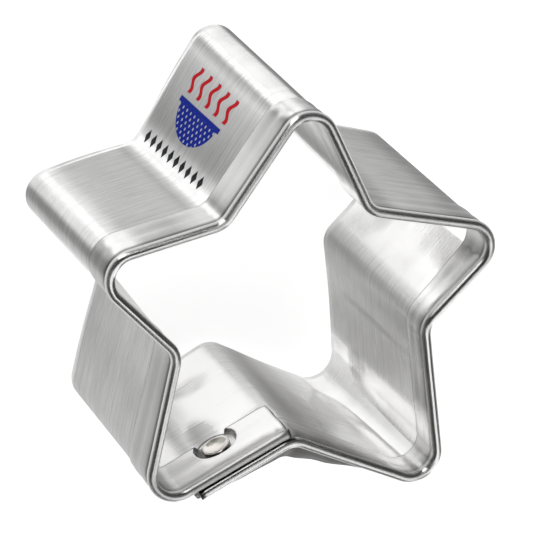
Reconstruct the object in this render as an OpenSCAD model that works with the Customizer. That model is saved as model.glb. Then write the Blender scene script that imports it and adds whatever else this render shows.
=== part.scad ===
// Star-shaped cookie cutter of thin sheet metal.
// A blade strip is bent round a five-pointed star. Its top edge sits in a folded rim binding that ends
// in a rolled bead. The binding runs past itself at one wall, and a rivet holds the two layers together.
// The cutter stands on its cutting edge with its rim up. The origin is on that plane, in the middle of
// the star's box, with +Y towards the point opposite the seam.

/* [Star] */
// Depth of the cutter, from its cutting edge to the top of its rim
depth = 25.4; // [20:0.1:40]
// Middle of the star to the sharp corner of a plain point
tip_reach = 21.4; // [19:0.1:32]
// Middle of the star to the sharp corner of a plain notch
notch_reach = 12; // [10:0.1:13]
// Radius of the strip's centre line round a point
tip_bend_r = 2.4; // [1.8:0.1:3]
// Radius of the strip's centre line round a notch
notch_bend_r = 2.2; // [1.6:0.1:3]

/* [Blade strip] */
// Thickness of the blade's sheet
blade_t = 0.25; // [0.2:0.01:0.35]
// Turn round the point past the seam at which the blade's outer end stops, in degrees
outer_wrap = 35; // [29:1:60]
// Turn round the same point at which the blade's inner end starts, in degrees
inner_start = 24; // [5:1:28]

/* [Rim binding] */
// Thickness of the binding's sheet
binding_t = 0.2; // [0.15:0.01:0.25]
// Diameter of the rolled bead along the top of the rim
bead_d = 0.95; // [0.9:0.01:1.4]
// Height of the rim band, from the top of its bead to its raw edges
band_h = 5.5; // [4:0.1:8]
// Extra height of the tongue, the end of the band that runs past the seam on the inside
tongue_drop = 0.9; // [0.2:0.1:2]
// Gap between a leg of the binding and the sheet that it grips
grip_gap = 0.02; // [0.01:0.01:0.04]
// Gap between the two beads where the rim runs past itself
seam_gap = 0.03; // [0.02:0.01:0.2]
// Turn that the tongue's end follows round the notch, in degrees
tongue_wrap = 17; // [5:1:25]
// Distance from the outer end of the rim to the bend of the next point
outer_stop = 0.9; // [0.3:0.1:3]
// Distance from the tongue's extra height to the same bend
tongue_stop = 0.4; // [0.3:0.1:1]

/* [Seam rivet] */
// Diameter of the button head inside the star
head_d = 2.9; // [2.4:0.1:3.1]
// Thickness of the button head
head_t = 0.3; // [0.2:0.05:0.4]
// Diameter of the shallow sink in the middle of the button head
sink_d = 2.2; // [1.8:0.1:2.2]
// Depth of that sink
sink_h = 0.08; // [0.05:0.01:0.12]
// Diameter of the rivet's shank
shank_d = 1.6; // [1.2:0.1:1.7]
// Diameter of the flat head outside the star
tail_d = 2.6; // [2.1:0.1:3]
// Thickness of the flat head outside the star
tail_t = 0.25; // [0.15:0.05:0.4]
// Diameter of the dimple that is pressed in the tongue round the button head
dimple_d = 4.4; // [4.3:0.1:5.4]
// Distance from the tongue's raw edge to the rivet's middle
rivet_edge = 1.4; // [1:0.1:2.5]
// Gap round the shank and under both heads
rivet_gap = 0.02; // [0.01:0.01:0.05]
// Place of the rivet along the tongue's straight run, as a share of that run
rivet_place_share = 0.51; // [0.4:0.01:0.6]

/* [Hidden] */
$fn = 64;

// Corners in the order in which the strip passes them, clockwise seen from above. Corner 0 is the notch
// beside the seam, odd corners are points and even ones are notches. The cutter is bent by hand over a
// former, so each corner has its own reach and turn.
corner_count = 10;
corner_step = 360 / corner_count;
first_corner = -90;
tip_reach_shares = [1.09, 1, 1, 1, 1.135];
tip_turns = [-1.5, 0.7, -0.6, 0.2, 2.6];
notch_reach_shares = [0.97, 0.975, 1.015, 0.97, 1.05];
notch_turns = [-4.1, -5.4, 2.8, 2.7, 9.2];

// Wall of the dimple: its run to the side as a share of its depth
dimple_lean_share = 0.6;
// Bevel round a rivet head as a share of the head's thickness
head_bevel_share = 0.35;
// Overrun of a cut past the face that it opens, as a share of the sheet
overrun_share = 0.5;
overrun = overrun_share * binding_t;
// Extra half thickness of the sheet in its bends, a hair that lets the straight runs end inside them
bend_ease = 0.005;
// Length by which a straight run ends inside a bend
run_lap = 0.1;

function heading(v) = atan2(v.y, v.x);
function unit(v) = v / norm(v);
function outward(v) = [-v.y, v.x];
function is_tip(i) = i % 2 == 1;
function bend_r(i) = is_tip(i) ? tip_bend_r : notch_bend_r;
function corner(i) =
    let (k = floor((i % corner_count) / 2))
    let (reach = is_tip(i) ? tip_reach * tip_reach_shares[k] : notch_reach * notch_reach_shares[k])
    let (turn = is_tip(i) ? tip_turns[k] : notch_turns[k])
    let (a = first_corner - corner_step * i + turn)
    reach * [cos(a), sin(a)];

// A bend that rounds the corner q between p and s: its centre, its two ends and its turn
function half_angle(p, q, s) = acos(unit(p - q) * unit(s - q)) / 2;
function bend_centre(p, q, s, r) = q + unit(unit(p - q) + unit(s - q)) * r / sin(half_angle(p, q, s));
function bend_start(p, q, s, r) = q + unit(p - q) * r / tan(half_angle(p, q, s));
function bend_end(p, q, s, r) = q + unit(s - q) * r / tan(half_angle(p, q, s));
function bend_turn(p, q, s) = 180 - 2 * half_angle(p, q, s);

corners = [for (i = [0:corner_count]) corner(i)];
last_corner = corner_count - 1;

// Half thicknesses of the folded rim, and the step out from the tongue's line to the outer layer's line
bead_r = bead_d / 2;
tongue_h = band_h + tongue_drop;
throat = blade_t / 2 + grip_gap;
leg_face = throat + binding_t;
bead_z = depth - bead_r;
blade_top = depth - bead_d;
pitch = bead_d + seam_gap;

// The seam wall, from notch 0 to point 1
seam_way = unit(corners[1] - corners[0]);
seam_out = outward(seam_way);

// Notch 0 as the outer layer bends round it. The tongue follows the same centre from inside.
notch_in_way = unit(corners[last_corner] - corners[0]);
outer_corner = corners[0] + notch_in_way * pitch / (notch_in_way * seam_out);
outer_next = outer_corner + seam_way * tip_reach;
notch_centre = bend_centre(corners[last_corner], outer_corner, outer_next, notch_bend_r);
notch_turn = bend_turn(corners[last_corner], outer_corner, outer_next);
outer_run_start = notch_centre - seam_out * notch_bend_r;
tongue_run_start = notch_centre - seam_out * (notch_bend_r + pitch);

// Point 1, which the tongue's line rounds and the blade's outer end overlaps
seam_tip_start = bend_start(corners[0], corners[1], corners[2], tip_bend_r);
seam_tip_centre = bend_centre(corners[0], corners[1], corners[2], tip_bend_r);
seam_tip_turn = bend_turn(corners[0], corners[1], corners[2]);
outer_run_end = seam_tip_start + seam_out * pitch - seam_way * outer_stop;

// Rivet
rivet_at = tongue_run_start + (seam_tip_start - tongue_run_start) * rivet_place_share;
rivet_z = depth - tongue_h + rivet_edge;
dimple_back = pitch - leg_face - grip_gap;
dimple_front = dimple_back - 2 * binding_t;
dimple_depth = dimple_front + leg_face;
dimple_r = dimple_d / 2;
floor_r = dimple_r - dimple_depth * dimple_lean_share;
hole_r = shank_d / 2 + rivet_gap;

// Box of the star, which gives the place of the origin
function tip_middle(i) = bend_centre(corners[i - 1], corners[i], corners[i + 1], tip_bend_r);
rim_r = tip_bend_r + bead_r;
lap_r = tip_bend_r + pitch + blade_t / 2;
box_low_x = tip_middle(3).x - rim_r;
box_high_x = tip_middle(7).x + rim_r;
box_low_y = min(tip_middle(9).y - rim_r, tip_middle(1).y - lap_r);
box_high_y = tip_middle(5).y + rim_r;
box_middle = [(box_low_x + box_high_x) / 2, (box_low_y + box_high_y) / 2];

// Sections are drawn with x outward from the strip's line and y up from the cutting edge
module blade_section(ease = 0) {
    half = blade_t / 2 + ease;
    foot = bend_ease - ease;
    translate([-half, foot])
        square([2 * half, blade_top - 2 * foot]);
}

module binding_section(height, ease = 0) {
    face = leg_face + ease;
    gap = throat - ease;
    leg_h = height - bead_r + ease - bend_ease;
    difference() {
        union() {
            translate([0, bead_z])
                circle(r = bead_r + ease - bend_ease);
            translate([-face, bead_z - leg_h])
                square([2 * face, leg_h]);
        }
        translate([0, bead_z])
            circle(r = bead_r - binding_t - ease);
        translate([-gap, depth - height - overrun])
            square([2 * gap, height - bead_r + overrun]);
    }
}

// The part of the tongue's legs that hangs below the rest of the band
module tongue_legs() {
    for (side_x = [-leg_face, throat])
        translate([side_x, depth - tongue_h + bend_ease])
            square([binding_t, tongue_drop + run_lap]);
}

// A straight run of a section between the ends of two bends, or to a free end
module run(from, to, free_end = false) {
    translate([from.x, from.y, 0])
        rotate([0, 0, heading(to - from)])
            translate([-run_lap, 0, 0])
                rotate([90, 0, 90])
                    linear_extrude(norm(to - from) + (free_end ? run_lap : 2 * run_lap))
                        children();
}

// A bend round a point, whose centre is inside the star. The turn is counted clockwise from way_out.
module tip_bend(centre, r, way_out, from, to) {
    translate([centre.x, centre.y, 0])
        rotate([0, 0, heading(way_out) - to])
            rotate_extrude(angle = to - from)
                translate([r, 0])
                    children();
}

// A bend round a notch, whose centre is outside. The turn is counted counter-clockwise up to way_in.
module notch_bend(centre, r, way_in, turn) {
    translate([centre.x, centre.y, 0])
        rotate([0, 0, heading(way_in) - turn])
            rotate_extrude(angle = turn)
                translate([r, 0])
                    mirror([1, 0])
                        children();
}

// The bend of one corner between its two walls
module corner_bend(i) {
    p = corners[i - 1];
    q = corners[i];
    s = corners[i + 1];
    centre = bend_centre(p, q, s, bend_r(i));
    if (is_tip(i))
        tip_bend(centre, bend_r(i), outward(q - p), 0, bend_turn(p, q, s))
            children();
    else
        notch_bend(centre, bend_r(i), -outward(s - q), bend_turn(p, q, s))
            children();
}

// Everything from the end of point 1 to the last notch, which both strips follow. Its first child is the
// section of a straight run and its second child the section of a bend.
module common_way() {
    for (i = [2:last_corner])
        corner_bend(i)
            children(1);
    for (i = [1:last_corner - 1])
        run(bend_end(corners[i - 1], corners[i], corners[i + 1], bend_r(i)),
            bend_start(corners[i], corners[i + 1], corners[i + 2], bend_r(i + 1)))
            children(0);
    run(bend_end(corners[last_corner - 1], corners[last_corner], corners[0], bend_r(last_corner)),
        bend_start(corners[last_corner], outer_corner, outer_next, notch_bend_r))
        children(0);
    notch_bend(notch_centre, notch_bend_r, -seam_out, notch_turn)
        children(1);
}

// Places its children on the rivet's axis, with z outward from the tongue's line
module at_rivet() {
    translate([rivet_at.x, rivet_at.y, rivet_z])
        rotate([0, 0, heading(seam_out)])
            rotate([0, 90, 0])
                children();
}

// The hole for the shank through every layer of the outer strip
module outer_hole() {
    at_rivet()
        translate([0, 0, dimple_back])
            cylinder(h = pitch + leg_face + overrun - dimple_back, r = hole_r);
}

// The tongue's two legs, pressed together and out against the outer layer round the rivet
module dimple() {
    intersection() {
        at_rivet()
            rotate_extrude()
                polygon([
                    [hole_r, dimple_front],
                    [floor_r, dimple_front],
                    [dimple_r, bend_ease - leg_face],
                    [dimple_r + binding_t, bend_ease - leg_face],
                    [dimple_r + binding_t, leg_face - bend_ease],
                    [floor_r + binding_t, dimple_back],
                    [hole_r, dimple_back]
                ]);
        translate([rivet_at.x - dimple_d, rivet_at.y - dimple_d, depth - tongue_h])
            cube([2 * dimple_d, 2 * dimple_d, tongue_h]);
    }
}

module centred() {
    translate([-box_middle.x, -box_middle.y, 0])
        children();
}

module blade_strip() {
    color("silver")
        centred() {
            tip_bend(seam_tip_centre, tip_bend_r, seam_out, inner_start, seam_tip_turn)
                blade_section(bend_ease);
            common_way() {
                blade_section();
                blade_section(bend_ease);
            }
            difference() {
                run(outer_run_start, seam_tip_start + seam_out * pitch)
                    blade_section();
                outer_hole();
            }
            tip_bend(seam_tip_centre, tip_bend_r + pitch, seam_out, 0, outer_wrap)
                blade_section(bend_ease);
        }
}

module rim_binding() {
    color("gainsboro")
        centred() {
            notch_bend(notch_centre, notch_bend_r + pitch, -seam_out, tongue_wrap)
                binding_section(tongue_h, bend_ease);
            difference() {
                union() {
                    run(tongue_run_start, seam_tip_start)
                        binding_section(band_h);
                    run(tongue_run_start, seam_tip_start - seam_way * tongue_stop, free_end = true)
                        tongue_legs();
                }
                at_rivet()
                    translate([0, 0, -leg_face - overrun])
                        cylinder(h = 2 * (leg_face + overrun), r = dimple_r);
            }
            dimple();
            tip_bend(seam_tip_centre, tip_bend_r, seam_out, 0, seam_tip_turn)
                binding_section(band_h, bend_ease);
            common_way() {
                binding_section(band_h);
                binding_section(band_h, bend_ease);
            }
            difference() {
                run(outer_run_start, outer_run_end, free_end = true)
                    binding_section(band_h);
                outer_hole();
            }
        }
}

module seam_rivet() {
    seat = dimple_front - rivet_gap;
    tail_seat = pitch + leg_face + rivet_gap;
    head_bevel = head_t * head_bevel_share;
    tail_bevel = tail_t * head_bevel_share;
    color("lightgray")
        centred()
            at_rivet()
                rotate_extrude()
                    polygon([
                        [0, seat - head_t + sink_h],
                        [sink_d / 2, seat - head_t + sink_h],
                        [sink_d / 2 + sink_h, seat - head_t],
                        [head_d / 2 - head_bevel, seat - head_t],
                        [head_d / 2, seat - head_t + head_bevel],
                        [head_d / 2, seat],
                        [shank_d / 2, seat],
                        [shank_d / 2, tail_seat],
                        [tail_d / 2, tail_seat],
                        [tail_d / 2, tail_seat + tail_t - tail_bevel],
                        [tail_d / 2 - tail_bevel, tail_seat + tail_t],
                        [0, tail_seat + tail_t]
                    ]);
}

blade_strip();
rim_binding();
seam_rivet();
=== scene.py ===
import math

import bmesh
import bpy
from mathutils import Matrix, Vector


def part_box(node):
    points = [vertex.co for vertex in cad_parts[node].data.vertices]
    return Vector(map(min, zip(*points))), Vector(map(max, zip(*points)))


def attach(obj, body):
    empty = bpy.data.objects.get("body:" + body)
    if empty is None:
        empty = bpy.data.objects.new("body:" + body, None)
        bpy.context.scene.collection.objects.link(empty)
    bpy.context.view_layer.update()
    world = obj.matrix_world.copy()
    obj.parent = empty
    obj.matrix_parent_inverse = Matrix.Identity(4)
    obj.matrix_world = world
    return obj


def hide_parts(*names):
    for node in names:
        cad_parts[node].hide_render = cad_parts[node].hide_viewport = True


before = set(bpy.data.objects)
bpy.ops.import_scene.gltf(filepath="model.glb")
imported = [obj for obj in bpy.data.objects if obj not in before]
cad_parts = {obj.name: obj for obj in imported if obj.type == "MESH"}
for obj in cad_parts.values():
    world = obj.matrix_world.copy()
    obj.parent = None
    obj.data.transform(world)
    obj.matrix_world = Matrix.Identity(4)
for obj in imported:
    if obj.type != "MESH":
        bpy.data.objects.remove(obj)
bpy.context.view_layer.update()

# The blade strip: one strip of brushed tinplate, cut to the cutter's depth and bent round a former.
# Its upper edge is held in the rim binding, and its lower edge is bare and cuts. Its outer end laps
# round the point beside the seam.
mm = 0.001
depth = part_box("rim_binding")[1][2]
blade_t = 0.25 * mm
blade_top = depth - 1.6 * mm
blade_rows = 24
outer_wrap = math.radians(24)
inner_start = math.radians(10)
bead_r = 0.475 * mm
pitch = 2 * bead_r + 0.03 * mm

# The line of the star. The former gives each corner its own reach and turn. Corner 0 is the notch
# beside the seam. Odd corners are points, even ones are notches, clockwise seen from above.
tip_reach = 21.4 * mm
notch_reach = 12.0 * mm
tip_bend_r = 2.4 * mm
notch_bend_r = 2.2 * mm
tip_reach_shares = (1.09, 1.0, 1.0, 1.0, 1.135)
tip_turns = (-1.5, 0.7, -0.6, 0.2, 2.6)
notch_reach_shares = (0.97, 0.975, 1.015, 0.97, 1.05)
notch_turns = (-4.1, -5.4, 2.8, 2.7, 9.2)


def plan_corner(i):
    k = (i % 10) // 2
    reach = tip_reach * tip_reach_shares[k] if i % 2 else notch_reach * notch_reach_shares[k]
    turn = tip_turns[k] if i % 2 else notch_turns[k]
    angle = math.radians(-90 - 36 * i + turn)
    return Vector((reach * math.cos(angle), reach * math.sin(angle), 0))


def outward(way):
    """The side that faces out of the star for a strip that runs this way"""
    return Vector((-way.y, way.x, 0)).normalized()


class Bend:
    """The round that takes the place of a sharp corner q between p and s"""

    def __init__(self, p, q, s, r):
        back = (p - q).normalized()
        on = (s - q).normalized()
        half = back.angle(on) / 2
        self.start = q + back * r / math.tan(half)
        self.end = q + on * r / math.tan(half)
        self.centre = q + (back + on).normalized() * r / math.sin(half)
        self.turn = math.pi - 2 * half
        self.r = r


corners = [plan_corner(i) for i in range(11)]
bends = [None] + [
    Bend(corners[i - 1], corners[i], corners[i + 1], tip_bend_r if i % 2 else notch_bend_r) for i in range(1, 10)
]

# The seam wall: the tongue stays on the star's own line, the outer layer runs one bead further out
seam_way = (corners[1] - corners[0]).normalized()
seam_out = outward(seam_way)
in_way = (corners[9] - corners[0]).normalized()
outer_corner = corners[0] + in_way * pitch / in_way.dot(seam_out)
outer_notch = Bend(corners[9], outer_corner, outer_corner + seam_way, notch_bend_r)
tongue_start = outer_notch.centre - seam_out * (notch_bend_r + pitch)
outer_run = (bends[1].start + seam_out * pitch - outer_notch.end).length

# The star is shifted so that its box has its middle at the origin, as in the frame
rim_reach = tip_bend_r + bead_r
shift = Vector((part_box("rim_binding")[0][0] - (bends[3].centre.x - rim_reach),
                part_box("rim_binding")[1][1] - (bends[5].centre.y + rim_reach), 0))

run_step = 0.6 * mm
bend_step = math.radians(5)


class Sheet:
    """A section of sheet metal that is pulled along the star's line, row by row"""

    def __init__(self, section, at, way):
        self.bm = bmesh.new()
        self.along = self.bm.verts.layers.float.new("along")
        self.up = self.bm.verts.layers.float.new("up")
        self.side = self.bm.verts.layers.float_vector.new("side")
        self.polish_and_sheen = self.bm.verts.layers.float.new("polish_and_sheen")
        self.painted_shade = self.bm.verts.layers.float.new("painted_shade")
        self.s = 0.0
        self.way = way.normalized()
        self.marks = []
        verts = []
        for x, z, up in section:
            v = self.bm.verts.new(at + outward(self.way) * x + Vector((0, 0, z)))
            v[self.up] = up
            verts.append(v)
        edges = [self.bm.edges.new(pair) for pair in zip(verts, verts[1:])]
        self.row = verts + edges
        self.note()

    def note(self):
        """Writes on the newest row how far along it lies, and which side is out"""
        for v in self.row:
            if isinstance(v, bmesh.types.BMVert):
                v[self.along] = self.s
                v[self.side] = outward(self.way)

    def run(self, length):
        """Pulls the strip straight on"""
        count = max(1, round(length / run_step))
        for _ in range(count):
            edges = [e for e in self.row if isinstance(e, bmesh.types.BMEdge)]
            new = bmesh.ops.extrude_edge_only(self.bm, edges=edges)["geom"]
            verts = [v for v in new if isinstance(v, bmesh.types.BMVert)]
            bmesh.ops.translate(self.bm, verts=verts, vec=self.way * length / count)
            fresh = set(verts)
            self.row = verts + [e for e in new if isinstance(e, bmesh.types.BMEdge) and set(e.verts) <= fresh]
            self.s += length / count
            self.note()

    def swing(self, centre, turn, r):
        """Bends the strip round a centre and marks the middle of the bend"""
        count = max(1, round(abs(turn) / bend_step))
        self.marks.append(self.s + r * abs(turn) / 2)
        for _ in range(count):
            self.row = bmesh.ops.spin(self.bm, geom=self.row, cent=centre, axis=(0, 0, 1), angle=turn / count,
                                      steps=1, use_duplicate=False)["geom_last"]
            self.way = Matrix.Rotation(turn / count, 3, "Z") @ self.way
            self.s += r * abs(turn) / count
            self.note()

    def common_way(self):
        """From the end of point 1 round the star to the end of the last notch"""
        for i in range(2, 10):
            self.run((bends[i].start - bends[i - 1].end).length)
            self.swing(bends[i].centre, -bends[i].turn if i % 2 else bends[i].turn, bends[i].r)
        self.run((outer_notch.start - bends[9].end).length)
        self.swing(outer_notch.centre, outer_notch.turn, notch_bend_r)

    def finish(self, name, thickness, offset):
        bmesh.ops.translate(self.bm, verts=self.bm.verts, vec=shift)
        mesh = bpy.data.meshes.new(name)
        for f in self.bm.faces:
            f.smooth = True
        self.bm.to_mesh(mesh)
        self.bm.free()
        piece = bpy.data.objects.new(name, mesh)
        bpy.context.collection.objects.link(piece)
        wall = piece.modifiers.new("wall", "SOLIDIFY")
        wall.thickness = thickness
        wall.offset = offset
        return piece


blade_section = [(0.0, blade_top * k / blade_rows, blade_top * k / blade_rows) for k in range(blade_rows + 1)]
start_turn = Matrix.Rotation(-inner_start, 3, "Z")
blade = Sheet(blade_section, bends[1].centre + start_turn @ seam_out * tip_bend_r, start_turn @ seam_way)
blade.swing(bends[1].centre, inner_start - bends[1].turn, tip_bend_r)
blade.common_way()
blade.run(outer_run)
blade.swing(bends[1].centre, -outer_wrap, tip_bend_r + pitch)

# The strip is bent by hand, so neither edge keeps to the former's line: bend, x and y, in mm. Bends
# are counted from 0 at point 1, and bend 10 is the wrap of the outer end.
rim_shifts = ((5, 0, 0), (6, 0.5, 0.1), (7, 0.2, 0.0), (8, 0.35, 0.1), (9, 0, 0))
foot_shifts = ((0, 0.25, -0.5), (1, 0.8, -0.1), (2, -0.2, -0.5), (3, -0.2, -0.3), (4, -0.2, 1.25), (5, 0.4, 0.9),
               (6, 0.4, 1.0), (7, 0.1, 0.15), (8, -0.2, 0.15), (9, 0.5, 0.0), (10, 0.25, -0.5))
bow = 0.14 * mm


def between(a, b, x):
    """Smooth step from 0 at a to 1 at b"""
    t = min(1.0, max(0.0, (x - a) / (b - a)))
    return t * t * (3 - 2 * t)


def along_table(stops, s):
    """Value at s between stops of (place, value), blended smoothly"""
    if s <= stops[0][0]:
        return stops[0][1]
    for (s0, v0), (s1, v1) in zip(stops, stops[1:]):
        if s <= s1:
            t = between(s0, s1, s)
            return v0 * (1 - t) + v1 * t
    return stops[-1][1]


def shift_stops(sheet, first, shifts):
    """Stops for along_table from shifts at bends, on a sheet whose first bend has this count"""
    return [(sheet.marks[bend - first], Vector((x * mm, y * mm, 0))) for bend, x, y in shifts]


rim_stops = shift_stops(blade, 0, rim_shifts)
foot_stops = shift_stops(blade, 0, foot_shifts)
for v in blade.bm.verts:
    s = v[blade.along]
    down = 1 - v[blade.up] / depth
    v.co += along_table(foot_stops, s) * down + along_table(rim_stops, s) * (1 - down)
    for s0, s1 in zip(blade.marks, blade.marks[1:]):
        if s0 < s < s1:
            v.co += v[blade.side] * bow * math.sin(math.pi * (s - s0) / (s1 - s0)) ** 2 * min(1, 2 * down)

# The former and the rollers rub the sheet smoother at some places than at others, and the same values paint it
# paler there, as painted highlight bands, and darker where they are low, as painted shade. Each row has a bend
# and, for places past it in mm, the polish there.
blade_polish_and_sheen = (
    (0, ((0, 0.1), (3, -0.1), (7, -0.3))),
    (1, ((-2, -0.1), (3, -0.4))),
    (2, ((-2, 1.3), (-1, 0), (0, -1.7), (0.9, 1.3), (2, 2.4), (3, 0.7), (4, -0.2), (5.2, -0.1))),
    (3, ((-2.4, 0.1), (-1.3, -0.3), (-0.4, 1.1), (0.6, 2.6), (1.6, 0.4), (3, -0.9))),
    (4, ((-5, -0.1), (-4, 0.2), (-3, 0.9), (-2, -0.5), (-1, 2.3), (0, 1.8), (1, -2.1), (4, -0.2))),
    (5, ((-2, -2.5), (-0.7, 1.9), (0.5, 0.4), (2, -0.7), (4.4, -0.1))),
    (6, ((-5, -0.3), (-2.2, -1.2), (0.7, 1.2), (1.9, 2.6), (3, 2.6), (4.4, 2))),
    (7, ((-4, 2.1), (-2.5, 1.4), (-1, -0.6), (0, -1.8), (1.5, -1.2), (4, -0.6))),
    (8, ((-7.5, -0.9), (-5.3, -0.8), (-4.2, 1.5), (-3.3, 2.6), (-2.3, 0.9), (-0.5, 0.1), (0.7, 2.6),
         (1.7, 2.6), (3.7, 0.7), (6, 0.3))),
    (9, ((-5.7, -0.6), (-2.7, -1.6), (-1.5, -1), (0.3, 0.1), (1.3, 2.6), (2.8, 2.6))),
    (10, ((-7, 2.6), (-4.7, 0.4), (-3.2, -0.9), (-1.5, 2.1))))


def set_polish_and_sheen(sheet, first, table, verts):
    """Writes the polish, with its painted highlight and painted shade, on vertices of a sheet whose first bend
    has this count
    """
    stops = [(sheet.marks[bend - first] + past * mm, value) for bend, places in table for past, value in places]
    for v in verts:
        v[sheet.polish_and_sheen] = along_table(stops, v[sheet.along])


set_polish_and_sheen(blade, 0, blade_polish_and_sheen, blade.bm.verts)
blade_piece = blade.finish("blade", blade_t, 0.0)
blade_piece.modifiers["wall"].material_offset = 1


class Socket:
    """A shader value, so that a finish can be written as a sum"""

    def __init__(self, tree, out):
        self.tree = tree
        self.out = out

    def node(self, kind, settings=None, **inputs):
        """A new node; i0, i1 and so on stand for its sockets by number, other words for their names"""
        n = self.tree.nodes.new(kind)
        for key, value in (settings or {}).items():
            setattr(n, key, value)
        for key, value in inputs.items():
            numbered = key[0] == "i" and key[1:].isdigit()
            slot = n.inputs[int(key[1:])] if numbered else n.inputs[key.replace("_", " ")]
            if isinstance(value, Socket):
                self.tree.links.new(value.out, slot)
            else:
                slot.default_value = value
        return n

    def math(self, operation, a, b=0.0):
        n = self.node("ShaderNodeMath", {"operation": operation}, i0=a, i1=b)
        return Socket(self.tree, n.outputs[0])

    def __add__(self, other):
        return self.math("ADD", self, other)

    def __radd__(self, other):
        return self.math("ADD", other, self)

    def __sub__(self, other):
        return self.math("SUBTRACT", self, other)

    def __rsub__(self, other):
        return self.math("SUBTRACT", other, self)

    def __mul__(self, other):
        return self.math("MULTIPLY", self, other)

    def __rmul__(self, other):
        return self.math("MULTIPLY", other, self)

    def __truediv__(self, other):
        return self.math("DIVIDE", self, other)

    def __mod__(self, other):
        return self.math("FLOORED_MODULO", self, other)

    def __abs__(self):
        return self.math("ABSOLUTE", self)

    def least(self, other):
        return self.math("MINIMUM", self, other)

    def step(self, low, high):
        """Smooth step from 0 at low to 1 at high"""
        n = self.node("ShaderNodeMapRange", {"interpolation_type": "SMOOTHSTEP"},
                      i0=self, i1=low, i2=high, i3=0.0, i4=1.0)
        return Socket(self.tree, n.outputs[0])

    def within(self, low, high, edge=0.05):
        return self.step(low - edge, low + edge) * (1 - self.step(high - edge, high + edge))

    def from_middle(self, width):
        """Distance from the middle of the repeat that the value lies in"""
        return abs(self % width - width / 2)


class Finish:
    """A new material with one Principled shader"""

    def __init__(self, name):
        self.material = bpy.data.materials.new(name)
        self.material.use_nodes = True
        self.tree = self.material.node_tree
        self.shader = self.tree.nodes["Principled BSDF"]
        self.start = Socket(self.tree, None)

    def attribute(self, name):
        n = self.start.node("ShaderNodeAttribute", {"attribute_name": name})
        return Socket(self.tree, n.outputs["Fac"])

    def vector(self, x, y, z=0.0):
        n = self.start.node("ShaderNodeCombineXYZ", i0=x, i1=y, i2=z)
        return Socket(self.tree, n.outputs[0])

    def noise(self, x, y, layer=0.0, detail=2.0, rough=0.5):
        """Noise that is stretched by its factors on x and y; each layer is another cut through it"""
        n = self.start.node("ShaderNodeTexNoise", {"noise_dimensions": "3D"}, Vector=self.vector(x, y, layer),
                            Scale=1.0, Detail=detail, Roughness=rough)
        return Socket(self.tree, n.outputs["Fac"])

    def blend(self, share, a, b):
        """Colour a, and b where the share is 1"""
        n = self.start.node("ShaderNodeMix", {"data_type": "RGBA"}, i0=share, i6=a, i7=b)
        return Socket(self.tree, n.outputs[2])

    def bump(self, height, strength, distance):
        n = self.start.node("ShaderNodeBump", Height=height, Strength=strength, Distance=distance)
        return Socket(self.tree, n.outputs[0])

    def set(self, name, value):
        if isinstance(value, Socket):
            self.tree.links.new(value.out, self.shader.inputs[name])
        else:
            self.shader.inputs[name].default_value = value


def brushed(name, tone, rough, patches, lines=(), rise=0.0, calm_from=1000.0, grain=1.0, smudges=()):
    """Tinplate that is brushed along the strip. Places are in mm along the strip and up it. Its polish makes it
    smoother and also paints it paler, as a painted highlight, or darker where it is low, as painted shade, and
    its dark brown blend is painted shade.

    patches: how far the polish is broken up       lines: each its height, wander and strength
    rise: more polish, painted paler, for each mm of height       calm_from: where the polish fades out along the strip
    grain: strength of the hair lines and streaks  smudges: each its place, half sizes and strength
    """
    f = Finish(name)
    s = f.attribute("along") / mm
    z = f.attribute("up") / mm
    hair = f.noise(s * 0.4, z * 9.0, detail=4.0, rough=0.7)
    streak = f.noise(s * 0.09, z * 3.4, 7.0, detail=4.0, rough=0.7)
    cloud = f.noise(s * 0.22, z * 0.3, 3.0)
    scratch = f.noise(s * 0.1 + z * 0.2, z * 4.0, 11.0, detail=1.0).step(0.72, 0.78)
    for height, wander, strength in lines:
        away = abs(z - height + (f.noise(s * 0.05, 0.0, height) - 0.5) * wander)
        scratch = scratch + (1 - away.step(0.04, 0.16)) * strength
    rubbed_and_sheen = f.attribute("polish_and_sheen") * (1 - s.step(calm_from, calm_from + 1.0) * 0.7)
    for at_s, at_z, half_s, half_z, strength in smudges:
        away_s, away_z = (s - at_s) / half_s, (z - at_z) / half_z
        away = away_s * away_s + away_z * away_z + (streak - 0.5) * 1.6 + (hair - 0.5) * 1.2
        rubbed_and_sheen = rubbed_and_sheen - (1 - away.step(0.1, 1.4)) * strength
    patch = f.noise(s * 0.08, z * 0.22, 21.0, detail=1.0) + (hair - 0.5) * 0.7 + (streak - 0.5) * 0.5
    broken = patch.step(0.4, 0.8) * rubbed_and_sheen.step(0.6, 1.8) * patches
    rubbed_and_sheen = rubbed_and_sheen + (hair - 0.5) * 1.3 * grain + (streak - 0.5) * 2.0 * grain - broken + (z - 10.0) * rise
    # The polish paints the colour paler as painted highlight and darker as painted shade
    shade = rubbed_and_sheen * 0.2 + (hair - 0.5) * 1.6 * grain + (streak - 0.5) * 1.1 * grain
    shade = shade + (cloud - 0.5) * 0.3 - scratch * 0.2 + 0.5
    dark, pale = [(c, c * 0.997, c * 0.99, 1) for c in (tone * 0.72, min(tone * 1.18, 0.98))]
    # Dark brown blended in as painted shade
    painted_shade_brown = (0.05, 0.046, 0.042, 1)
    f.metal = f.blend(f.attribute("painted_shade"), f.blend(shade, dark, pale), painted_shade_brown)
    f.set("Base Color", f.metal)
    f.set("Metallic", 1.0)
    f.set("Roughness", (hair - 0.5) * 0.2 + (streak - 0.5) * 0.22 + (cloud - 0.5) * 0.12 - rubbed_and_sheen * 0.1 + rough)
    f.set("Specular IOR Level", 0.12)
    f.set("Anisotropic", 1.0)
    f.set("Anisotropic Rotation", 0.25)
    f.set("Normal", f.bump(hair * 0.6 + streak * 1.6 + cloud * 4.0, 0.8, 0.012 * mm))
    return f


# The blade's outside has two rolled lines under the binding, and is calmer past bend 6
outside = brushed("blade_tinplate", 0.8, 0.44, 0.6, lines=((18.7, 0.8, 1.0), (17.2, 1.6, 0.8)), rise=0.015,
                  calm_from=blade.marks[6] / mm + 1.0)

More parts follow.
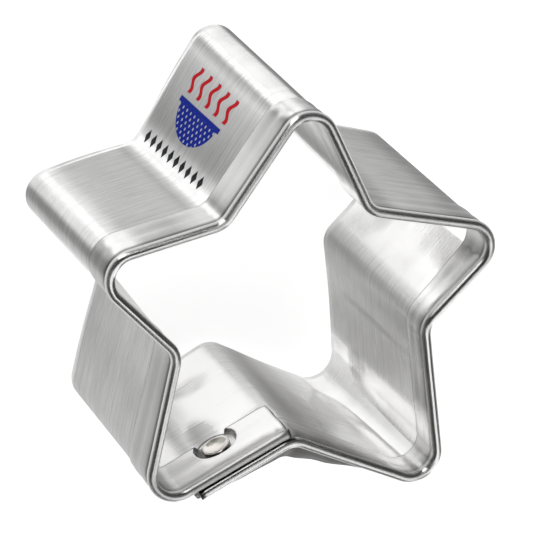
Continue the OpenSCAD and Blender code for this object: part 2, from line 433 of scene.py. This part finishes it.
# The print on the outside of the wall before the top point: a blue bowl with white dots, red waves
# of steam over it and a row of black diamonds. It reads towards the rim, its top towards the point.
# Its measures are in mm, print_x up the strip and print_y from the notch towards the point.
bowl_blue = (0.012, 0.035, 0.42, 1)
dot_white = (0.8, 0.82, 0.85, 1)
steam_red = (0.85, 0.012, 0.02, 1)
diamond_black = (0.006, 0.006, 0.007, 1)
bowl_middle, bowl_half = 9.6, 4.7
bowl_centre, bowl_deep = 5.9, 3.0
bowl_foot, bowl_brim = 2.0, 5.7
lip_ends, lip_sides = (4.4, 14.8), (5.6, 6.1)
dot_pitch_x, dot_pitch_y = 1.0, 0.9
steam_pitch, steam_start, steam_half = 2.3, 0.55, 0.32
steam_sway, steam_turns = 0.34, 3.4
steam_ends, steam_sides = (4.05, 15.55), (6.6, 9.0)
diamond_pitch, diamond_line = 1.6, 1.35
diamond_half_x, diamond_half_y = 0.55, 0.75
diamond_ends = (1.6, 17.6)
print_from = blade.marks[3] + bends[4].r * bends[4].turn / 2 - (corners[4] - bends[4].end).length
print_x = outside.attribute("up") / mm
print_y = (outside.attribute("along") - print_from) / mm


def dot_away(shift_x, shift_y):
    """Squared distance from the nearest dot of one of the two grids of dots"""
    away_x = (print_x + shift_x).from_middle(dot_pitch_x)
    away_y = (print_y + shift_y).from_middle(dot_pitch_y)
    return away_x * away_x + away_y * away_y


bowl_x = (print_x - bowl_middle) / bowl_half
bowl_y = (bowl_centre - print_y) / bowl_deep
bowl = (1 - (bowl_x * bowl_x + bowl_y * bowl_y).step(0.95, 1.0)) * print_y.within(bowl_foot, bowl_brim)
bowl_lip = print_x.within(*lip_ends) * print_y.within(*lip_sides)
dots = 1 - dot_away(0.0, 0.0).least(dot_away(dot_pitch_x / 2, dot_pitch_y / 2)).step(0.012, 0.03)
wave = print_x + outside.start.math("SINE", print_y * steam_turns) * steam_sway
steam = 1 - (wave + steam_start).from_middle(steam_pitch).step(steam_half, steam_half + 0.08)
steam = steam * print_y.within(*steam_sides) * wave.within(*steam_ends)
diamond_x = print_x.from_middle(diamond_pitch) / diamond_half_x
diamond_y = abs(print_y - diamond_line) / diamond_half_y
diamond = (1 - (diamond_x + diamond_y).step(0.93, 1.0)) * print_x.within(*diamond_ends)
ink = outside.blend(bowl * dots * 0.9, bowl_blue, dot_white)
ink = outside.blend(steam, ink, steam_red)
ink = outside.blend(diamond, ink, diamond_black)
printed = (bowl + bowl_lip + steam + diamond).least(1.0)
outside.set("Base Color", outside.blend(printed, outside.metal, ink))
outside.set("Metallic", 1 - printed)

# Its inside is painted brighter than its outside, to make up for the shade inside the star, with dull smudges
# from handling and, where the strength is negative, rubbed places that are also painted paler. Each has its
# place along and up the strip, its half sizes and its strength.
inside_smudges = (
    (119.0, 6.0, 2.2, 1.8, 2.2), (120.8, 15.4, 1.6, 3.2, 3.0), (116.4, 17.4, 1.5, 1.3, 2.4),
    (96.8, 6.5, 1.6, 2.4, 1.8), (103.1, 7.4, 1.2, 3.0, -1.8), (98.0, 11.0, 1.2, 3.4, -1.4),
    (90.0, 12.0, 0.5, 9.0, 0.5), (80.0, 7.0, 2.0, 1.6, 1.6))
inside = brushed("blade_tinplate_inside_brightened", 0.95, 0.29, 1.2, lines=((12.2, 3.0, 1.3), (16.0, 2.0, 0.6)), rise=0.08,
                 smudges=inside_smudges)

# A dark ring is painted on the layer behind the rivet, as painted shade round the place where the press that
# closes the rivet pushes it out
rivet_place_share = 0.51
press_height = 18.7
press_r_in, press_r_out = 1.75, 1.95
painted_press_shade = (0.03, 0.028, 0.025, 1)
press_at = blade.marks[9] + outer_notch.r * outer_notch.turn / 2 + rivet_place_share * outer_run
press_s = inside.attribute("along") / mm - press_at / mm
press_z = inside.attribute("up") / mm - press_height
press_away = inside.start.math("SQRT", press_s * press_s + press_z * press_z)
press_ring_shade = press_away.within(press_r_in, press_r_out, 0.08) * 0.9
inside.set("Base Color", inside.blend(press_ring_shade, inside.metal, painted_press_shade))
for finish in (outside, inside):
    blade_piece.data.materials.append(finish.material)
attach(blade_piece, "root")
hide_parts("blade_strip")

# The rim binding: a narrow strip folded over the blade's top edge and rolled to a bead. Its two legs
# lie on the blade in two soft waves, which the rollers leave, and end in raw edges. Its inner end
# lies over the seam as a tongue, and its outer end stops just before the point.
binding_t = 0.2 * mm
band_h = 5.5 * mm
tongue_h = 6.4 * mm
tongue_wrap = math.radians(17)
outer_stop = 0.9 * mm
neck_x = 0.27 * mm
neck_y = 1.12 * mm
leg_x = 0.335 * mm
wave_x = 0.06 * mm
leg_rows = 22
bead_rows = 20
neck_angle = math.asin(neck_x / bead_r)


def leg_offset(y):
    """Half width of the band's outside at a distance y below its top"""
    u = (y - neck_y) / (band_h - neck_y)
    pinch = math.exp(-((u / 0.06) ** 2))
    return leg_x + wave_x * math.sin(2 * math.pi * u) ** 2 - (leg_x - neck_x) * pinch


leg = [(leg_offset(y), y) for y in (band_h + (neck_y - band_h) * k / leg_rows for k in range(leg_rows + 1))]
bead_turn = 2 * math.pi - 2 * neck_angle
bead = []
for k in range(bead_rows + 1):
    a = -math.pi / 2 - neck_angle - bead_turn * k / bead_rows
    bead.append((bead_r * math.cos(a), bead_r - bead_r * math.sin(a)))
profile = [(-x, y) for x, y in leg] + bead + [(x, y) for x, y in reversed(leg)]
run_up = 0.0
binding_section = []
for k, (x, y) in enumerate(profile):
    if k:
        run_up += math.dist(profile[k - 1], (x, y))
    binding_section.append((x, depth - y, run_up))
mid_up = run_up / 2
leg_length = binding_section[len(leg) - 1][2]

tongue_turn = Matrix.Rotation(-tongue_wrap, 3, "Z")
tongue_at = outer_notch.centre - (tongue_turn @ seam_out) * (notch_bend_r + pitch)
binding = Sheet(binding_section, tongue_at, tongue_turn @ seam_way)
binding.swing(outer_notch.centre, tongue_wrap, notch_bend_r + pitch)
binding.run((bends[1].start - tongue_start).length)
binding.swing(bends[1].centre, -bends[1].turn, tip_bend_r)
binding.common_way()
binding.run(outer_run - outer_stop)

# Height in mm of the inner and the outer leg at each bend, from the tongue's end on
inner_heights = (6.5, 6.2, 5.5, 5.5, 5.5, 5.5, 5.5, 5.0, 4.2, 4.4, 5.5)
outer_heights = (6.4, 6.2, 5.5, 5.4, 5.3, 5.3, 5.6, 5.6, 5.5, 5.5, 5.5)
inner_stops = [(s, h * mm) for s, h in zip(binding.marks, inner_heights)]
outer_stops = [(s, h * mm) for s, h in zip(binding.marks, outer_heights)]
# The outer leg stands open round the seam's notch: distance past the notch and opening, in mm
open_places = ((-17, 0), (-10, 1.1), (-5, 1.8), (0, 2.65), (5, 2.4))
open_end = 1.85 * mm
open_rise = 0.4
notch_at = binding.marks[-1]
open_stops = [(notch_at + past * mm, x * mm) for past, x in open_places] + [(binding.s, open_end)]
rim_stops = shift_stops(binding, -1, rim_shifts)
for v in binding.bm.verts:
    y = depth - v.co.z
    s = v[binding.along]
    v.co += along_table(rim_stops, s)
    if y > neck_y:
        inner = v[binding.up] < mid_up
        h = along_table(inner_stops if inner else outer_stops, s)
        share = (y - neck_y) / (band_h - neck_y)
        v.co.z = depth - neck_y - share * (h - neck_y)
        if inner and s > notch_at:
            v.co += v[binding.side] * wave_x * math.sin(2 * math.pi * share) ** 2
        if not inner:
            opened = along_table(open_stops, s) * (1 - (1 - share) ** 2)
            t = between(notch_at - 9 * mm, notch_at + 6 * mm, s)
            way = (outward(-in_way) * (1 - t) + seam_out * t).normalized()
            v.co += way * opened + Vector((0, 0, opened * open_rise * share))

# A round dimple is pressed into the tongue, out against the outer layer, so that the rivet's button
# lies below the wall. It runs over the tongue's raw edge.
rivet_edge = 1.4 * mm
rivet_at = tongue_start.lerp(bends[1].start, rivet_place_share) + Vector((0, 0, depth - tongue_h + rivet_edge))
dimple_r = 2.2 * mm
dimple_floor_r = 1.86 * mm
dimple_front = 0.215 * mm
dimple_back = 0.615 * mm
tongue_end = binding.marks[1] - 4 * mm


def from_rivet(co):
    """Distance from the rivet's axis, and height over the tongue's line"""
    gap = co - rivet_at
    height = gap.dot(seam_out)
    return (gap - seam_out * height).length, height


for cuts, level_only in ((3, True), (1, False)):
    near_faces = []
    for f in binding.bm.faces:
        middle = f.calc_center_median()
        if (all(v[binding.along] < tongue_end for v in f.verts) and depth - middle.z > neck_y
                and from_rivet(middle)[0] < dimple_r + 0.5 * mm):
            near_faces.append(f)
    edges = {e for f in near_faces for e in f.edges
             if not level_only or abs(e.verts[0].co.z - e.verts[1].co.z) < e.calc_length() / 2}
    bmesh.ops.subdivide_edges(binding.bm, edges=list(edges), cuts=cuts, use_grid_fill=True)
in_dimple = []
for v in binding.bm.verts:
    away, height = from_rivet(v.co)
    if v[binding.along] < tongue_end and away < dimple_r and depth - v.co.z > neck_y:
        pressed = 1 - between(dimple_floor_r, dimple_r, away)
        v.co += seam_out * pressed * ((dimple_front if height < 0 else dimple_back) - height)
        in_dimple.append((v, away, (v.co - rivet_at).normalized()))

# The polish of the binding's two legs, with its painted highlight and painted shade, in rows as for the blade;
# the outer leg is mostly painted darker
inner_leg_polish_and_sheen = (
    (-1, ((0, 2.1), (2, 2.2))),
    (0, ((-6, 1.6), (-4, 1.4), (-2.8, 1.2), (-2, 0.2), (-1, -1.4), (0, -2.8), (3, 0.1))),
    (4, ((0, 0.2), (4, -0.1))),
    (5, ((-3.4, -1.2), (-2.4, 0.2), (-1.4, 2.1), (0, 0.4))),
    (6, ((-2, 0), (0, 0.3), (2, -1.5), (4, 0.8))),
    (7, ((-4, 0.7), (-2, 2.6), (-1, 0.5), (0, -0.9), (1.5, 0.3), (4, 0.5))),
    (8, ((-7, -0.7), (-4.2, 2.5), (-2.2, 0.2), (0, 0.4), (2.8, 2.6), (4.8, 1.2))),
    (9, ((-6, 0.3), (-3.6, -0.2), (0, 0.2), (1.4, -0.7))))
outer_leg_polish_and_sheen = (
    (0, ((0, -0.8), (4, -1.3))),
    (1, ((-3, -1.5), (3, -1))),
    (2, ((-1, -1), (0.2, -2.8), (1.2, -1.1), (2.2, 1.1), (3.2, 1), (4.2, -0.7))),
    (3, ((-4.2, -1.1), (-2.4, -0.3), (-1.2, 0.2), (-0.2, 0), (0.8, -1.8), (1.8, -0.5), (3.8, -0.1),
         (5.8, -0.3))),
    (4, ((-4.8, -0.7), (-2.8, -0.9), (-1.8, -2.5), (-0.8, 1.1), (0.2, -1), (1.2, -2.8), (4, -1))),
    (5, ((1.6, -1.9), (3.6, -1.1))),
    (6, ((-6, -1.4), (-3, -2), (0, -1))),
    (9, ((-16, -0.8), (-10, -1.8), (4, -1.9), (10, -1.6))))
for table, face in ((inner_leg_polish_and_sheen, -1), (outer_leg_polish_and_sheen, 1)):
    set_polish_and_sheen(binding, -1, table, [v for v in binding.bm.verts if (v[binding.up] - mid_up) * face > 0])

# Painted shade darkens the crease under the bead, the raw edges, the cut ends, the whole bead a little and the
# outer leg where it stands open. Where two layers lie side by side, the facing sides of their beads get painted
# shade, and the inner leg is rougher and painted darker past the last point.
bead_polish_and_sheen, bead_shade = 0.6, 0.28
tongue_bead_polish_and_sheen = -0.4
tongue_bead_end = binding.marks[1] - 3 * mm
open_leg_shade = 0.7 / (2.8 * mm)
dull_at = binding.marks[9]
dull_share = 1.3
edge_shade, cut_end_shade = 0.75, 0.8
outer_crease_shade, inner_crease_shade = 0.8, 0.5
for v in binding.bm.verts:
    s = v[binding.along]
    up = v[binding.up]
    round_at = (up - mid_up) / bead_r
    if abs(up - mid_up) < mid_up - leg_length:
        v[binding.polish_and_sheen] = bead_polish_and_sheen
        v[binding.painted_shade] = bead_shade
        if s < tongue_bead_end:
            v[binding.polish_and_sheen] = tongue_bead_polish_and_sheen
            v[binding.painted_shade] = 0.8 * between(0.45, 1.0, round_at) + 0.2
        if s > notch_at:
            v[binding.painted_shade] = 0.9 * between(0.6, 1.1, -round_at) + 0.1
    elif round_at > 0:
        v[binding.painted_shade] = open_leg_shade * along_table(open_stops, s)
    else:
        dulled = between(dull_at - 3 * mm, dull_at + 2 * mm, s) * between(1.6 * mm, 3.2 * mm, up)
        v[binding.polish_and_sheen] -= dull_share * dulled
    from_edge = min(up, run_up - up)
    from_cut = min(s, binding.s - s)
    from_crease = abs(from_edge - leg_length)
    v[binding.painted_shade] = max(
        v[binding.painted_shade], edge_shade * (1 - between(0.05 * mm, 0.2 * mm, from_edge)),
        cut_end_shade * (1 - between(0.02 * mm, 0.3 * mm, from_cut)),
        (outer_crease_shade if round_at > 0 else inner_crease_shade) * (
            1 - between(0.05 * mm, 0.4 * mm, from_crease)))
shaded_way = (Vector((0, 0, 1)) + seam_way).normalized()
# Painted shade on the dimple's wall and on its side that faces up and along the seam
for v, away, way in in_dimple:
    wall = between(dimple_floor_r, dimple_floor_r + 0.15 * mm, away)
    v[binding.painted_shade] = max(0.7 * wall, 0.9 * between(-0.5, 0.3, way.dot(shaded_way)))
    v[binding.polish_and_sheen] = 1.0
binding_piece = binding.finish("rim_band", binding_t, 1.0)
binding_finish = brushed("rim_tinplate", 0.84, 0.31, 0.5, grain=0.55)
binding_piece.data.materials.append(binding_finish.material)
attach(binding_piece, "root")
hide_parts("rim_binding")

# The seam rivet: a soft metal button rivet, set through the dimple and the outer layer. Its button has
# a shallow sink and a bright rim, and its tail is spread flat on the outside.
head_d = 2.7 * mm
head_t = 0.4 * mm
sink_d = 2.2 * mm
sink_h = 0.11 * mm
shank_d = 1.6 * mm
tail_d = 2.6 * mm
tail_t = 0.25 * mm
rivet_gap = 0.02 * mm
rivet_steps = 48
seat = dimple_front - rivet_gap
button_top = seat - head_t
tail_seat = pitch + 0.345 * mm + rivet_gap
rivet_profile = (
    (0, button_top + sink_h * 2.4), (sink_d * 0.25, button_top + sink_h * 2.1),
    (sink_d * 0.42, button_top + sink_h * 1.3), (sink_d / 2, button_top + sink_h * 0.2),
    (sink_d / 2 + 0.1 * mm, button_top), (head_d / 2 - head_t / 3, button_top + 0.02 * mm),
    (head_d / 2, seat - head_t * 0.6), (head_d / 2, seat), (shank_d / 2, seat), (shank_d / 2, tail_seat),
    (tail_d / 2, tail_seat), (tail_d / 2, tail_seat + tail_t * 0.6),
    (tail_d / 2 - tail_t / 3, tail_seat + tail_t), (0, tail_seat + tail_t))
bm = bmesh.new()
line = [bm.verts.new((x, 0, z)) for x, z in rivet_profile]
edges = [bm.edges.new(pair) for pair in zip(line, line[1:])]
bmesh.ops.spin(bm, geom=line + edges, axis=(0, 0, 1), cent=(0, 0, 0), angle=2 * math.pi, steps=rivet_steps,
               use_merge=True)
bmesh.ops.remove_doubles(bm, verts=bm.verts, dist=0.001 * mm)
bmesh.ops.recalc_face_normals(bm, faces=bm.faces)
rims = [e for e in bm.edges if e.calc_face_angle(0) > math.radians(25)]
bmesh.ops.bevel(bm, geom=rims, offset=0.035 * mm, segments=2, profile=0.5, affect="EDGES", material=-1)
for f in bm.faces:
    f.smooth = True
bm.transform(Matrix.Translation(rivet_at + shift) @ seam_out.to_track_quat("Z", "Y").to_matrix().to_4x4())
rivet_mesh = bpy.data.meshes.new("rivet")
bm.to_mesh(rivet_mesh)
bm.free()
rivet = bpy.data.objects.new("rivet", rivet_mesh)
bpy.context.collection.objects.link(rivet)
rivet_finish = Finish("rivet_nickel")
rivet_finish.set("Base Color", (0.86, 0.83, 0.78, 1))
rivet_finish.set("Metallic", 1.0)
rivet_finish.set("Roughness", 0.2)
rivet_mesh.materials.append(rivet_finish.material)
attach(rivet, "root")
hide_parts("seam_rivet")

# The floor: a plain pale table top that the cutter stands on. The camera and the metal see it as a
# glowing white sheet, and it still takes the cutter's shadow.
floor_half = 1.5
floor_glow = 0.68
floor_mesh = bpy.data.meshes.new("floor")
bm = bmesh.new()
bmesh.ops.create_grid(bm, x_segments=1, y_segments=1, size=floor_half)
bm.to_mesh(floor_mesh)
bm.free()
floor = bpy.data.objects.new("floor", floor_mesh)
bpy.context.collection.objects.link(floor)
floor_finish = Finish("pale_floor")
floor_finish.set("Base Color", (0.9, 0.9, 0.9, 1))
floor_finish.set("Roughness", 0.9)
floor_finish.set("Emission Color", (1, 1, 1, 1))
path = floor_finish.start.node("ShaderNodeLightPath")
by_camera, by_gloss, through = [
    Socket(floor_finish.tree, path.outputs[name])
    for name in ("Is Camera Ray", "Is Glossy Ray", "Is Transmission Ray")]
floor_finish.set("Emission Strength", (by_camera * 1.2 + by_gloss * 1.2 + through) * floor_glow)
floor_mesh.materials.append(floor_finish.material)

# The light: a dim room with a soft box overhead, a larger one behind the cutter, and slim upright
# ones round the table, which put the white bands on the bends.
room_level = 0.08
world = bpy.data.worlds.new("room")
bpy.context.scene.world = world
world.use_nodes = True
world.node_tree.nodes["Background"].inputs["Color"].default_value = (1, 1, 1, 1)
world.node_tree.nodes["Background"].inputs["Strength"].default_value = room_level


def soft_box(name, azimuth, elevation, distance, width, tall, level):
    """An area lamp that faces the cutter and gives the radiance level"""
    light = bpy.data.lights.new(name, "AREA")
    light.shape = "RECTANGLE"
    light.size = width
    light.size_y = tall
    light.energy = math.pi * width * tall * level
    lamp = bpy.data.objects.new(name, light)
    a, e = math.radians(azimuth), math.radians(elevation)
    lamp.location = Vector((math.cos(a) * math.cos(e), math.sin(a) * math.cos(e), math.sin(e))) * distance
    lamp.rotation_euler = (Vector((0, 0, depth / 2)) - lamp.location).to_track_quat("-Z", "Y").to_euler()
    bpy.context.collection.objects.link(lamp)
    lamp.visible_camera = False


soft_box("box_over", 260, 72, 0.4, 0.13, 0.13, 1.8)
soft_box("box_back", 303, 57, 0.4, 0.2, 0.24, 1.3)
for azimuth, width, level in ((118, 0.07, 3.4), (320, 0.05, 1.8), (292, 0.05, 0.9)):
    soft_box("strip_%d" % azimuth, azimuth, 26, 0.19, width, 0.15, level)

# The camera looks down on the rim with a long lens, rolled so that the point beside the seam lies at the lower
# left. Its lens is worked out for a square frame.
frame_px = 533
focal_px = 3000
camera_target = Vector((1.5075, -0.5723, 12.7)) * mm
camera_distance = 282.34 * mm
camera_azimuth = math.radians(135.136)
camera_elevation = math.radians(60.481)
camera_roll = math.radians(134.069)
camera_data = bpy.data.cameras.new("photo_view")
camera_data.sensor_width = 36
camera_data.lens = focal_px / frame_px * 36
camera_data.clip_start = 0.01
camera = bpy.data.objects.new("photo_view", camera_data)
bpy.context.collection.objects.link(camera)
camera_back = Vector((math.cos(camera_azimuth) * math.cos(camera_elevation),
                      math.sin(camera_azimuth) * math.cos(camera_elevation), math.sin(camera_elevation)))
level_way = Vector((0, 0, 1)).cross(camera_back).normalized()
lift = camera_back.cross(level_way)
right = level_way * math.cos(camera_roll) + lift * math.sin(camera_roll)
up = camera_back.cross(right)
camera.matrix_world = Matrix.Translation(camera_target + camera_back * camera_distance) @ Matrix(
    (right, up, camera_back)).transposed().to_4x4()
bpy.context.scene.camera = camera
bpy.context.scene.view_settings.view_transform = "Standard"

bpy.context.view_layer.update()
